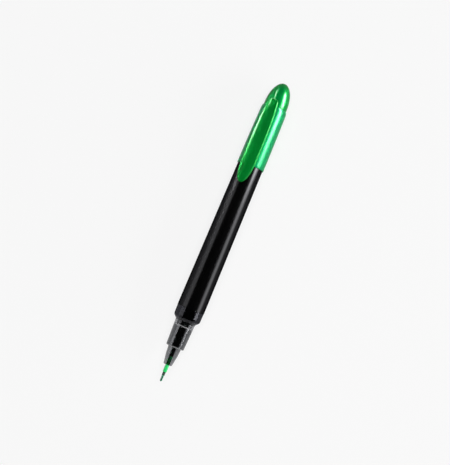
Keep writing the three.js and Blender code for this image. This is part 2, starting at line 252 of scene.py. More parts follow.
def join_rings(mesh, first, second):
    """Faces between two rings, either of which may be one vertex."""
    count = max(len(first), len(second))
    if count == 1:
        return
    for i in range(count):
        j = (i + 1) % count
        corners = [first[i % len(first)], first[j % len(first)]]
        corners += [second[j % len(second)], second[i % len(second)]]
        mesh.faces.new(list(dict.fromkeys(corners)))


def finished_object(name, mesh):
    """An object with the closed mesh, shaded smooth, with its faces pointing out."""
    bmesh.ops.recalc_face_normals(mesh, faces=mesh.faces)
    for face in mesh.faces:
        face.smooth = True
    data = bpy.data.meshes.new(name)
    mesh.to_mesh(data)
    mesh.free()
    piece = bpy.data.objects.new(name, data)
    bpy.context.scene.collection.objects.link(piece)
    return piece


def weight_normals(piece):
    """Lets the large faces lead the normals, so that flat stretches look flat."""
    weighted = piece.modifiers.new("weighted_normals", "WEIGHTED_NORMAL")
    weighted.weight = 100
    weighted.keep_sharp = True


def turned(name, outline, sides=SIDES, closed=True):
    """A piece turned round the marker's axis.

    It is a ring if its outline is closed. Otherwise its outline goes from axis to axis.
    """
    mesh = bmesh.new()
    rings = [ring_of(mesh, p[0], p[1], sides) for p in filleted(outline, closed)]
    for first, second in zip(rings, rings[1:]):
        join_rings(mesh, first, second)
    if closed:
        join_rings(mesh, rings[-1], rings[0])
    piece = finished_object(name, mesh)
    weight_normals(piece)
    return piece


def settle(piece, node, body, material):
    """The piece stands for its CAD node, moves with its body and wears its material."""
    piece.data.materials.clear()
    piece.data.materials.append(material)
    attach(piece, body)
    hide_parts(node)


# Materials


def new_material(name, **settings):
    """A material with a Principled shader, with the given values in its sockets."""
    material = bpy.data.materials.new(name)
    material.use_nodes = True
    shader = material.node_tree.nodes["Principled BSDF"]
    for socket, value in settings.items():
        shader.inputs[socket.replace("_", " ")].default_value = value
    return material, material.node_tree, shader


def placed(tree, stretch):
    """The surface's own place, stretched along the marker."""
    coordinates = tree.nodes.new("ShaderNodeTexCoord")
    mapping = tree.nodes.new("ShaderNodeMapping")
    mapping.inputs["Scale"].default_value = stretch
    tree.links.new(coordinates.outputs["Object"], mapping.inputs["Vector"])
    return mapping.outputs["Vector"]


def speckle(tree, size, stretch=(1, 1, 1), detail=3.0):
    """Soft noise with blobs of about the given size in metres."""
    texture = tree.nodes.new("ShaderNodeTexNoise")
    texture.inputs["Scale"].default_value = 1 / size
    texture.inputs["Detail"].default_value = detail
    tree.links.new(placed(tree, stretch), texture.inputs["Vector"])
    return texture.outputs["Fac"]


def flakes(tree, size):
    """A random value for each cell of about the given size, as in flakes under a lacquer."""
    texture = tree.nodes.new("ShaderNodeTexVoronoi")
    texture.inputs["Scale"].default_value = 1 / size
    tree.links.new(placed(tree, (1, 1, 1)), texture.inputs["Vector"])
    spread = tree.nodes.new("ShaderNodeSeparateColor")
    tree.links.new(texture.outputs["Color"], spread.inputs["Color"])
    return spread.outputs["Red"]


def spread_over(tree, value, low, high, start=0.3, stop=0.7):
    """The value's range from start to stop, brought to low to high."""
    node = tree.nodes.new("ShaderNodeMapRange")
    node.inputs["From Min"].default_value = start
    node.inputs["From Max"].default_value = stop
    node.inputs["To Min"].default_value = low
    node.inputs["To Max"].default_value = high
    tree.links.new(value, node.inputs["Value"])
    return node.outputs["Result"]


def blend_colours(tree, share, first, second):
    """A blend that goes from the first colour to the second as the share goes from 0 to 1."""
    node = tree.nodes.new("ShaderNodeMix")
    node.data_type = "RGBA"
    node.inputs["A"].default_value = (*first, 1)
    node.inputs["B"].default_value = (*second, 1)
    tree.links.new(share, node.inputs["Factor"])
    return node.outputs["Result"]


def add_bump(tree, shader, height, depth):
    """The height as bumps of the given depth in metres."""
    node = tree.nodes.new("ShaderNodeBump")
    node.inputs["Distance"].default_value = depth
    tree.links.new(height, node.inputs["Height"])
    tree.links.new(node.outputs["Normal"], shader.inputs["Normal"])


def black_gloss():
    """The barrel's glossy black plastic under a smoky film, with faint flow and a fine orange peel."""
    material, tree, shader = new_material("black_gloss_plastic", IOR=1.5)
    shader.inputs["Specular IOR Level"].default_value = 1.0
    shader.inputs["Coat Weight"].default_value = 1.0
    shader.inputs["Coat IOR"].default_value = 1.0
    shader.inputs["Coat Tint"].default_value = (0.27, 0.27, 0.28, 1)
    cloud = speckle(tree, 6 * MM, (0.35, 1, 1))
    colour = blend_colours(tree, cloud, (0.0012, 0.0012, 0.0014), (0.002, 0.002, 0.0021))
    tree.links.new(colour, shader.inputs["Base Color"])
    roughness = spread_over(tree, speckle(tree, 0.6 * MM, (0.2, 1, 1)), 0.13, 0.19)
    tree.links.new(roughness, shader.inputs["Roughness"])
    add_bump(tree, shader, speckle(tree, 1.6 * MM, (0.3, 1, 1), 2.0), 0.004 * MM)
    return material


def ramp_node(tree, value, source, target):
    """The value's range source brought to the range target, softly at both of its ends."""
    node = tree.nodes.new("ShaderNodeMapRange")
    node.interpolation_type = "SMOOTHSTEP"
    node.inputs["From Min"].default_value, node.inputs["From Max"].default_value = source
    node.inputs["To Min"].default_value, node.inputs["To Max"].default_value = target
    tree.links.new(value, node.inputs["Value"])
    return node.outputs["Result"]


def math_node(tree, operation, first, second):
    """The operation on an output and on a number or another output."""
    node = tree.nodes.new("ShaderNodeMath")
    node.operation = operation
    tree.links.new(first, node.inputs[0])
    if isinstance(second, float):
        node.inputs[1].default_value = second
    else:
        tree.links.new(second, node.inputs[1])
    return node.outputs["Value"]


def along_marker(tree, start, stop):
    """A share that goes from 0 to 1 from one X on the marker to another, softly."""
    coordinates = tree.nodes.new("ShaderNodeTexCoord")
    place = tree.nodes.new("ShaderNodeSeparateXYZ")
    tree.links.new(coordinates.outputs["Object"], place.inputs["Vector"])
    return ramp_node(tree, place.outputs["X"], (start, stop), (0, 1))


# Painted highlight: a narrow ring where the smoky plastic is made less clear, and so lighter, standing
# for light caught by its inner steps.
def painted_highlight_ring(tree, middle):
    """A share that is 1 on a narrow ring round the marker at the given X, and 0 away from it."""
    reach = 0.45 * MM
    before = along_marker(tree, middle - reach, middle)
    return math_node(tree, "MULTIPLY", before, along_marker(tree, middle + reach, middle))


def smoky_plastic(name, dark_from, dark_to, rings):
    """Smoky clear plastic with faint flow lines from its mould, that gets darker from one X to another.

    It has a painted highlight on a narrow ring at each X in rings: the plastic is made slightly less
    clear there, and so lighter, where its inner steps would catch light.
    """
    material, tree, shader = new_material(name, IOR=1.49)
    shader.inputs["Specular Tint"].default_value = (0.9, 0.9, 0.95, 1)
    shader.inputs["Coat IOR"].default_value = 1.0
    shader.inputs["Coat Tint"].default_value = (0.6, 0.6, 0.63, 1)
    cloud = speckle(tree, 3 * MM, (0.5, 1, 1))
    clear = blend_colours(tree, cloud, (0.86, 0.86, 0.87), (0.95, 0.95, 0.96))
    depth = along_marker(tree, dark_from, dark_to)
    colour = blend_colours(tree, depth, (1, 1, 1), (0.4, 0.4, 0.42))
    tree.links.new(clear, colour.node.inputs["A"])
    tree.links.new(colour, shader.inputs["Base Color"])
    tree.links.new(ramp_node(tree, depth, (0, 1), (0.3, 1)), shader.inputs["Coat Weight"])
    # Painted highlight on the narrow rings at the inner steps: less transmission makes the plastic
    # lighter there.
    painted_highlight = painted_highlight_ring(tree, rings[0])
    for middle in rings[1:]:
        painted_highlight = math_node(tree, "ADD", painted_highlight, painted_highlight_ring(tree, middle))
    tree.links.new(ramp_node(tree, painted_highlight, (0, 1), (1, 0.72)), shader.inputs["Transmission Weight"])
    roughness = spread_over(tree, speckle(tree, 0.5 * MM, (0.3, 1, 1)), 0.05, 0.12)
    tree.links.new(roughness, shader.inputs["Roughness"])
    add_bump(tree, shader, speckle(tree, 1.2 * MM, (0.4, 1, 1), 2.0), 0.01 * MM)
    smoke = tree.nodes.new("ShaderNodeVolumeAbsorption")
    smoke.inputs["Color"].default_value = (0.1, 0.115, 0.12, 1)
    smoke.inputs["Density"].default_value = SMOKE_DENSITY
    tree.links.new(smoke.outputs["Volume"], tree.nodes["Material Output"].inputs["Volume"])
    return material


def green_lacquer(name, dark, light, grain, rough, **settings):
    """A green metallic lacquer with flakes of the given size, and a clear coat on top."""
    material, tree, shader = new_material(name, **settings)
    colour = blend_colours(tree, flakes(tree, grain), dark, light)
    tree.links.new(colour, shader.inputs["Base Color"])
    roughness = spread_over(tree, speckle(tree, 3 * grain), *rough)
    tree.links.new(roughness, shader.inputs["Roughness"])
    add_bump(tree, shader, flakes(tree, 1.3 * grain), 0.02 * grain)
    return material


def satin_metallic_green():
    """The cap's satin metallic lacquer."""
    return green_lacquer(
        "satin_metallic_green", (0.0, 0.2, 0.06), (0.001, 0.26, 0.085), 0.09 * MM, (0.3, 0.38),
        Metallic=0.1, Specular_IOR_Level=0.1, Specular_Tint=(0.0, 0.4, 0.14, 1),
        Coat_Weight=0.043, Coat_IOR=2.5, Coat_Roughness=0.1)


def glossy_candy_green():
    """The dome's smooth and darker green lacquer."""
    return green_lacquer(
        "glossy_candy_green", (0.0, 0.19, 0.03), (0.0, 0.25, 0.045), 0.12 * MM, (0.3, 0.36),
        Metallic=0.1, Specular_IOR_Level=0.05, Specular_Tint=(0.0, 0.4, 0.14, 1),
        Coat_Weight=0.052, Coat_IOR=2.5, Coat_Roughness=0.06)


def clip_green():
    """The clip's dark green lacquer."""
    return green_lacquer(
        "clip_green", (0.0, 0.15, 0.014), (0.0, 0.19, 0.022), 0.1 * MM, (0.28, 0.36),
        Metallic=0.15, Specular_IOR_Level=0.1, Specular_Tint=(0.0, 0.5, 0.2, 1),
        Coat_Weight=0.03, Coat_IOR=2.5, Coat_Roughness=0.12)


def bright_green_plastic():
    """The nib sleeve's bright green, slightly translucent plastic."""
    material, tree, shader = new_material("bright_green_plastic", IOR=1.49)
    shader.inputs["Subsurface Weight"].default_value = 0.25
    shader.inputs["Subsurface Radius"].default_value = (0.3, 1.0, 0.5)
    shader.inputs["Subsurface Scale"].default_value = 0.3 * MM
    colour = blend_colours(tree, speckle(tree, 0.6 * MM), (0.008, 0.58, 0.12), (0.02, 0.72, 0.18))
    tree.links.new(colour, shader.inputs["Base Color"])
    roughness = spread_over(tree, speckle(tree, 0.2 * MM), 0.25, 0.35)
    tree.links.new(roughness, shader.inputs["Roughness"])
    add_bump(tree, shader, speckle(tree, 0.15 * MM), 0.002 * MM)
    return material


def inked_fibre(name, dark, light, strand, depth, wet_from=None, wet_to=None):
    """Fibre drawn out along the marker and soaked with ink.

    It gets wetter and darker from the X wet_from to the X wet_to, if they are given.
    """
    material, tree, shader = new_material(name, IOR=1.4)
    along = (0.08, 1, 1)
    colour = blend_colours(tree, speckle(tree, strand, along), dark, light)
    if wet_from is not None:
        wet = blend_colours(tree, along_marker(tree, wet_from, wet_to), (1, 1, 1), (0.001, 0.03, 0.012))
        tree.links.new(colour, wet.node.inputs["A"])
        colour = wet
    tree.links.new(colour, shader.inputs["Base Color"])
    roughness = spread_over(tree, speckle(tree, 2 * strand, along), 0.45, 0.75)
    tree.links.new(roughness, shader.inputs["Roughness"])
    add_bump(tree, shader, speckle(tree, strand, along, 2.0), depth)
    return material


def clear_film():
    """The thin clear film round the reservoir, with slight wrinkles."""
    material, tree, shader = new_material("clear_film", IOR=1.46)
    shader.inputs["Transmission Weight"].default_value = 1.0
    shader.inputs["Base Color"].default_value = (0.8, 0.86, 0.84, 1)
    roughness = spread_over(tree, speckle(tree, 1.5 * MM), 0.08, 0.18)
    tree.links.new(roughness, shader.inputs["Roughness"])
    add_bump(tree, shader, speckle(tree, 2.0 * MM, (0.3, 1, 1)), 0.02 * MM)
    return material


def milky_plastic():
    """The seal's soft milky plastic."""
    material, tree, shader = new_material("milky_plastic", IOR=1.5)
    shader.inputs["Subsurface Weight"].default_value = 0.4
    shader.inputs["Subsurface Radius"].default_value = (1.0, 0.9, 0.8)
    shader.inputs["Subsurface Scale"].default_value = 0.8 * MM
    colour = blend_colours(tree, speckle(tree, 2 * MM), (0.72, 0.74, 0.72), (0.8, 0.82, 0.8))
    tree.links.new(colour, shader.inputs["Base Color"])
    roughness = spread_over(tree, speckle(tree, 0.5 * MM), 0.38, 0.5)
    tree.links.new(roughness, shader.inputs["Roughness"])
    add_bump(tree, shader, speckle(tree, 0.8 * MM), 0.006 * MM)
    return material


# Pieces on the barrel's body


def make_barrel():
    rear_radius = RESTING_RADIUS - BARREL_TAPER
    outline = [
        (BARREL_FRONT, RESTING_RADIUS, BARREL_FILLET),
        (BARREL_FRONT + BARREL_LEVEL_LENGTH, RESTING_RADIUS, 0),
        (BARREL_REAR, rear_radius, BARREL_FILLET),
        (BARREL_REAR, BARREL_BORE_RADIUS, 0.05 * MM),
        (BARREL_FRONT, BARREL_BORE_RADIUS, 0.05 * MM),
    ]
    settle(turned("barrel_tube", outline), "barrel", "barrel", black_gloss())


def make_fine_section():
    kink = CONE_FRONT + CONE_SLIM_LENGTH
    spigot_front = CONE_FRONT + CONE_LENGTH
    spigot_root = spigot_front + FINE_SPIGOT_LENGTH
    ramp_top = spigot_root + RAMP_LENGTH
    collar_rear = BARREL_FRONT - END_GAP
    cup_floor = BARREL_FRONT - FINE_CUP_REACH
    sleeve_bore = SLEEVE_RADIUS + PRESS_GAP
    tail_bore = TAIL_RADIUS + PRESS_GAP
    wick_bore = WICK_RADIUS + PRESS_GAP
    outline = [
        (CONE_FRONT, sleeve_bore, 0.06 * MM),
        (CONE_FRONT, CONE_TIP_RADIUS, 0.2 * MM),
        (kink, CONE_KINK_RADIUS, 0.8 * MM),
        (spigot_front, CONE_ROOT_RADIUS, 0.12 * MM),
        (spigot_front, FINE_SPIGOT_RADIUS, 0.38 * MM),
        *smooth_ramp((spigot_root, SPIGOT_ROOT_RADIUS), (ramp_top, RESTING_RADIUS - RAMP_TOP_STEP), 14),
        (ramp_top + COLLAR_EDGE, RESTING_RADIUS - COLLAR_FRONT_STEP, 0.3 * MM),
        (collar_rear, RESTING_RADIUS - COLLAR_REAR_STEP, 0.06 * MM),
        (collar_rear, INSERT_RADIUS, 0.04 * MM),
        (INSERT_REAR, INSERT_RADIUS, 0.15 * MM),
        (INSERT_REAR, CUP_RADIUS, 0.1 * MM),
        (cup_floor, CUP_RADIUS, 0.35 * MM),
        (cup_floor, wick_bore, 0.1 * MM),
        (WICK_FRONT, wick_bore, 0.1 * MM),
        (WICK_FRONT, tail_bore, 0.05 * MM),
        (SLEEVE_REAR, tail_bore, 0.04 * MM),
        (SLEEVE_REAR, sleeve_bore, 0.04 * MM),
    ]
    rings = (cup_floor, spigot_front + HIGHLIGHT_RING_INSET)
    smoke = smoky_plastic("smoky_plastic_fine", spigot_root, ramp_top, rings)
    settle(turned("fine_holder", outline), "fine_section", "barrel", smoke)


def make_fine_nib():
    point_end = FINE_TIP + POINT_LENGTH
    outline = [
        *reversed(quarter_round((FINE_TIP + POINT_RADIUS, POINT_RADIUS), (FINE_TIP, 0), 10)),
        (point_end - POINT_BEVEL, POINT_RADIUS, 0.1 * MM),
        (point_end, SHANK_RADIUS, 0.08 * MM),
        (SLEEVE_REAR + END_GAP, SHANK_RADIUS, 0.02 * MM),
        (SLEEVE_REAR + END_GAP, TAIL_RADIUS, 0.06 * MM),
        (TAIL_REAR, TAIL_RADIUS, 0.1 * MM),
        (TAIL_REAR, 0, 0),
    ]
    fibre = inked_fibre(
        "inked_point_fibre", (0.004, 0.07, 0.03), (0.03, 0.2, 0.11), 0.12 * MM, 0.006 * MM,
        point_end - POINT_WET_LENGTH, point_end)
    piece = turned("fine_point", outline, SLIM_SIDES, closed=False)
    settle(piece, "fine_nib", "barrel", fibre)


def make_fine_nib_sleeve():
    outline = [
        (SLEEVE_FRONT, SLEEVE_INNER_RADIUS, 0.03 * MM),
        (SLEEVE_FRONT, SLEEVE_RADIUS, 0.06 * MM),
        (SLEEVE_REAR, SLEEVE_RADIUS, 0.03 * MM),
        (SLEEVE_REAR, SLEEVE_INNER_RADIUS, 0.03 * MM),
    ]
    piece = turned("fine_point_sleeve", outline, SLIM_SIDES)
    settle(piece, "fine_nib_sleeve", "barrel", bright_green_plastic())


def make_fine_wick():
    socket = TAIL_RADIUS + PRESS_GAP
    socket_floor = TAIL_REAR + END_GAP
    outline = [
        (socket_floor, 0, 0),
        (socket_floor, socket, 0.03 * MM),
        (WICK_FRONT, socket, 0.03 * MM),
        (WICK_FRONT, WICK_RADIUS, 0.12 * MM),
        (WICK_REAR, WICK_RADIUS, 0.12 * MM),
        (WICK_REAR, 0, 0),
    ]
    fibre = inked_fibre(
        "inked_wick_fibre", (0.001, 0.004, 0.003), (0.003, 0.012, 0.008), 0.15 * MM, 0.01 * MM)
    piece = turned("feed_wick", outline, SLIM_SIDES, closed=False)
    settle(piece, "fine_wick", "barrel", fibre)


def make_ink_reservoir():
    wick_hole = WICK_RADIUS + PRESS_GAP
    nib_hole = BROAD_NIB_RADIUS + PRESS_GAP
    wick_hole_end = WICK_REAR + END_GAP
    nib_hole_end = BROAD_NIB_REAR - END_GAP
    outline = [
        (wick_hole_end, 0, 0),
        (wick_hole_end, wick_hole, 0.05 * MM),
        (RESERVOIR_FRONT, wick_hole, 0.1 * MM),
        (RESERVOIR_FRONT, RESERVOIR_RADIUS, 0.3 * MM),
        (RESERVOIR_REAR, RESERVOIR_RADIUS, 0.3 * MM),
        (RESERVOIR_REAR, nib_hole, 0.1 * MM),
        (nib_hole_end, nib_hole, 0.05 * MM),
        (nib_hole_end, 0, 0),
    ]
    fibre = inked_fibre(
        "inked_reservoir_fibre", (0.001, 0.006, 0.004), (0.004, 0.02, 0.012), 0.2 * MM, 0.03 * MM)
    piece = turned("reservoir_rod", outline, SLIM_SIDES, closed=False)
    settle(piece, "ink_reservoir", "barrel", fibre)


def make_reservoir_film():
    outline = [
        (FILM_FRONT, FILM_INNER_RADIUS, 0.02 * MM),
        (FILM_FRONT, FILM_RADIUS, 0.04 * MM),
        (FILM_REAR, FILM_RADIUS, 0.04 * MM),
        (FILM_REAR, FILM_INNER_RADIUS, 0.02 * MM),
    ]
    settle(turned("reservoir_sheath", outline), "reservoir_film", "barrel", clear_film())


def make_broad_section():
    flange_front = BARREL_REAR + END_GAP
    flange_rear = flange_front + FLANGE_LENGTH
    spigot_root = flange_rear + FLANGE_RAMP_LENGTH
    spigot_front = spigot_root + BROAD_SPIGOT_LENGTH
    cup_floor = BARREL_REAR + BROAD_CUP_REACH
    nib_bore = BROAD_NIB_RADIUS + PRESS_GAP
    outline = [
        (BROAD_INSERT_FRONT, CUP_RADIUS, 0.1 * MM),
        (BROAD_INSERT_FRONT, INSERT_RADIUS, 0.15 * MM),
        (flange_front, INSERT_RADIUS, 0.04 * MM),
        (flange_front, FLANGE_RADIUS, 0.1 * MM),
        (flange_rear, FLANGE_RADIUS, 0.15 * MM),
        (spigot_root, SPIGOT_ROOT_RADIUS, 0.3 * MM),
        (spigot_front, BROAD_SPIGOT_RADIUS, 0.4 * MM),
        (spigot_front, nib_bore + NOZZLE_ROOT_WALL, 0.15 * MM),
        (NOZZLE_FRONT, nib_bore + NOZZLE_WALL, 0.2 * MM),
        (NOZZLE_FRONT, nib_bore, 0.05 * MM),
        (cup_floor, nib_bore, 0.1 * MM),
        (cup_floor, CUP_RADIUS, 0.3 * MM),
    ]
    rings = (spigot_front - HIGHLIGHT_RING_INSET,)
    smoke = smoky_plastic("smoky_plastic_broad", spigot_root, flange_rear, rings)
    settle(turned("broad_holder", outline), "broad_section", "barrel", smoke)


def make_broad_nib():
    outline = [
        (BROAD_NIB_REAR, 0, 0),
        (BROAD_NIB_REAR, BROAD_NIB_RADIUS, 0.1 * MM),
        (NOZZLE_FRONT + BROAD_NIB_STRAIGHT, BROAD_NIB_RADIUS, 1.2 * MM),
        *quarter_round((BROAD_TIP - BROAD_NIB_TIP_ROUND, BROAD_NIB_TIP_RADIUS), (BROAD_TIP, 0), 10),
    ]
    fibre = inked_fibre(
        "inked_broad_fibre", (0.004, 0.07, 0.03), (0.02, 0.16, 0.08), 0.18 * MM, 0.015 * MM)
    piece = turned("broad_point", outline, SLIM_SIDES, closed=False)
    settle(piece, "broad_nib", "barrel", fibre)


# Pieces of the cap


def make_cap_tube():
    shoulder = CAP_TUBE_TOP - CAP_SHOULDER_LENGTH
    top_radius = RESTING_RADIUS - CAP_BOW
    side = []
    side_steps = 30
    for step in range(1, side_steps + 1):
        share = step / side_steps
        along = CAP_MOUTH + (shoulder - CAP_MOUTH) * share
        side.append((along, RESTING_RADIUS - CAP_BOW * share**2, 0))
    outline = [
        (CAP_MOUTH, RESTING_RADIUS, 0.16 * MM),
        *side,
        *quarter_round((shoulder, top_radius), (CAP_TUBE_TOP, top_radius - CAP_SHOULDER_DROP), 12)[1:],
        (CAP_TUBE_TOP, CAP_BORE_RADIUS, 0.05 * MM),
        (SEAL_MOUTH, CAP_BORE_RADIUS, 0.05 * MM),
        (SEAL_MOUTH, FLANGE_BORE_RADIUS, 0.1 * MM),
        (CAP_MOUTH, FLANGE_BORE_RADIUS, 0.1 * MM),
    ]
    settle(turned("cap_shell", outline), "cap_tube", "cap", satin_metallic_green())


def make_cap_inner_seal():
    end_wall_front = SEAL_REAR - SEAL_END_WALL
    outline = [
        (end_wall_front, 0, 0),
        (end_wall_front, SEAL_INNER_RADIUS, 0.4 * MM),
        (SEAL_MOUTH, SEAL_INNER_RADIUS, 0.1 * MM),
        (SEAL_MOUTH, SEAL_RADIUS, 0.1 * MM),
        (SEAL_REAR, SEAL_RADIUS, 0.2 * MM),
        (SEAL_REAR, 0, 0),
    ]
    piece = turned("cap_seal", outline, closed=False)
    settle(piece, "cap_inner_seal", "cap", milky_plastic())


def clip_frame():
    """The matrix from the clip's frame (along, across, above the axis) to the scene."""
    turn = Matrix.Rotation(-CLIP_TURN, 4, "X")
    return Matrix.Translation((0, 0, AXIS_Z)) @ turn


def bevelled_block(name, low, high, bevel):
    """A block between two corners in the clip's frame, with rounded edges."""
    mesh = bmesh.new()
    bmesh.ops.create_cube(mesh, size=1)
    middle = (Vector(low) + Vector(high)) / 2
    size = Vector(high) - Vector(low)
    bmesh.ops.scale(mesh, vec=size, verts=mesh.verts)
    bmesh.ops.translate(mesh, vec=middle, verts=mesh.verts)
    bmesh.ops.bevel(mesh, geom=mesh.edges[:], offset=bevel, segments=3, profile=0.5, affect="EDGES")
    bmesh.ops.transform(mesh, matrix=clip_frame(), verts=mesh.verts)
    return finished_object(name, mesh)


def combine(piece, other, operation):
    """Joins the other piece to this one or cuts it away, and deletes it."""
    boolean = piece.modifiers.new("combine", "BOOLEAN")
    boolean.operation = operation
    boolean.solver = "EXACT"
    boolean.object = other
    graph = bpy.context.evaluated_depsgraph_get()
    made = bpy.data.meshes.new_from_object(piece.evaluated_get(graph))
    piece.modifiers.clear()
    piece.data = made
    bpy.data.objects.remove(other)


def tang_corners(room):
    """Low and high corners of the tang in the clip's frame, grown by some room along and across."""
    middle = CLIP_TOP - TANG_FROM_TOP
    foot = CROWN_RADIUS - CROWN_WALL + TANG_FOOT_GAP
    head = RESTING_RADIUS + CLIP_GAP + CLIP_THICKNESS / 2
    low = (middle - TANG_LENGTH / 2 - room, -TANG_WIDTH / 2 - room, foot)
    high = (middle + TANG_LENGTH / 2 + room, TANG_WIDTH / 2 + room, head)
    return low, high


def make_cap_crown():
    dome_base = CROWN_BASE + CROWN_SKIRT_LENGTH
    cavity = CROWN_RADIUS - CROWN_WALL
    plug = CAP_BORE_RADIUS - PRESS_GAP
    outline = [
        *reversed(quarter_round((dome_base, cavity), (DOME_TOP - CROWN_WALL, 0), 16)),
        (PLUG_END, cavity, 0.1 * MM),
        (PLUG_END, plug, 0.2 * MM),
        (CROWN_BASE, plug, 0.04 * MM),
        (CROWN_BASE, CROWN_RADIUS, 0.3 * MM),
        *quarter_round((dome_base, CROWN_RADIUS), (DOME_TOP, 0), 40),
    ]
    mesh_piece = turned("cap_dome", outline, closed=False)
    mesh_piece.modifiers.clear()
    low, high = tang_corners(SLOT_ROOM)
    slot = bevelled_block("slot", (low[0], low[1], cavity - CROWN_WALL), high, SLOT_BEVEL)
    combine(mesh_piece, slot, "DIFFERENCE")
    weight_normals(mesh_piece)
    settle(mesh_piece, "cap_crown", "cap", glossy_candy_green())


def clip_half_width(from_top):
    """Half the plate's width, full in the middle and round at both ends."""
    length = CLIP_TOP - CLIP_TIP
    towards_top = from_top < CLIP_WIDEST_AT
    reach = CLIP_WIDEST_AT if towards_top else length - CLIP_WIDEST_AT
    power, root = CLIP_TOP_FULLNESS if towards_top else CLIP_TIP_FULLNESS
    share = min(1, abs(from_top - CLIP_WIDEST_AT) / reach)
    return CLIP_WIDTH / 2 * (1 - share**power) ** root


def clip_outline(steps):
    """Points (from_top, across) down one side of the plate, from its top end to its tip."""
    length = CLIP_TOP - CLIP_TIP
    points = []
    for step in range(steps + 1):
        from_top = length * (1 - math.cos(step / steps * math.pi)) / 2
        points.append(Vector((from_top, clip_half_width(from_top))))
    points[0].y = 0
    points[-1].y = 0
    return points


def inset_outline(points, inset):
    """The side's points moved inwards by the inset, square to the outline."""
    moved = []
    last = len(points) - 1
    for i, point in enumerate(points):
        if i == 0:
            moved.append(Vector((point.x + inset, 0)))
        elif i == last:
            moved.append(Vector((point.x - inset, 0)))
        else:
            along = (points[i + 1] - points[i - 1]).normalized()
            inwards = Vector((along.y, -along.x))
            place = point + inwards * inset
            moved.append(Vector((place.x, max(place.y, 0.02 * MM))))
    return moved


def clip_place(from_top, across, lift):
    """A place on the plate, which bends round the marker's axis and droops at its top end."""
    bend = RESTING_RADIUS + CLIP_GAP + CLIP_THICKNESS
    fall = bend - math.sqrt(bend**2 - across**2)
    droop = CLIP_DROOP * max(0, 1 - from_top / CLIP_DROOP_LENGTH) ** 2
    height = RESTING_RADIUS + CLIP_GAP + CLIP_THICKNESS / 2 - droop - fall + lift
    return clip_frame() @ Vector((CLIP_TOP - from_top, across, height))


def plate_face(mesh, ring, points, lift, across_steps):
    """The flat of the plate on one side of it, as rows between the two sides of its edge ring."""
    count = len(points)
    rows = []
    for i, point in enumerate(points):
        right = ring[i]
        left = ring[(2 * (count - 1) - i) % (2 * (count - 1))]
        if i in (0, count - 1):
            rows.append([right])
            continue
        row = [left]
        for step in range(1, across_steps):
            across = point.y * (2 * step / across_steps - 1)
            row.append(mesh.verts.new(clip_place(point.x, across, lift)))
        row.append(right)
        rows.append(row)
    for first, second in zip(rows, rows[1:]):
        for step in range(across_steps):
            corners = [first[min(step, len(first) - 1)], first[min(step + 1, len(first) - 1)]]
            corners += [second[min(step + 1, len(second) - 1)], second[min(step, len(second) - 1)]]
            mesh.faces.new(list(dict.fromkeys(corners)))


def clip_plate():
    """The long oval plate, with the same rounded rim all the way round."""
    mesh = bmesh.new()
    side = clip_outline(90)
    half = CLIP_THICKNESS / 2
    rim_steps = 10
    rings = []
    for step in range(rim_steps + 1):
        angle = step / rim_steps * math.pi
        inset = CLIP_FILLET * (1 - math.sin(angle))
        lift = half * math.cos(angle)
        points = inset_outline(side, inset)
        ring = [mesh.verts.new(clip_place(p.x, p.y, lift)) for p in points]
        ring += [mesh.verts.new(clip_place(p.x, -p.y, lift)) for p in reversed(points[1:-1])]
        rings.append((ring, points, lift))
    for first, second in zip(rings, rings[1:]):
        join_rings(mesh, first[0], second[0])
    for ring, points, lift in (rings[0], rings[-1]):
        plate_face(mesh, ring, points, lift, 16)
    return finished_object("cap_clip", mesh)


def clip_bump():
    """The bump under the plate's tip that grips what the marker is clipped to."""
    mesh = bmesh.new()
    bmesh.ops.create_uvsphere(mesh, u_segments=32, v_segments=20, radius=1)
    bmesh.ops.scale(mesh, vec=(BUMP_LENGTH / 2, BUMP_WIDTH / 2, BUMP_DEPTH), verts=mesh.verts)
    height = RESTING_RADIUS + CLIP_GAP + BUMP_RISE
    bmesh.ops.translate(mesh, vec=(CLIP_TIP + BUMP_FROM_TIP, 0, height), verts=mesh.verts)
    bmesh.ops.transform(mesh, matrix=clip_frame(), verts=mesh.verts)
    return finished_object("bump", mesh)


def make_clip():
    plate = clip_plate()
    low, high = tang_corners(0)
    combine(plate, bevelled_block("tang", low, high, TANG_BEVEL), "UNION")
    combine(plate, clip_bump(), "UNION")
    weight_normals(plate)
    settle(plate, "clip", "clip", clip_green())


# Studio: floor, light and camera

FLOOR_DROP = 0.02 * MM
FLOOR_RADIUS = 1.1
FLOOR_SIDES = 96
SWEEP_RADIUS = 0.9
SWEEP_HEIGHT = 0.55
SWEEP_STEPS = 16
BACKGROUND = 0.95
SHOWN_SHARE = 0.85
LAMP_DISTANCE = 0.42
OVERHEAD_STRENGTH = 3.6
RIGHT_FILL_STRENGTH = 4.5
WORLD_STRENGTH = 0.03


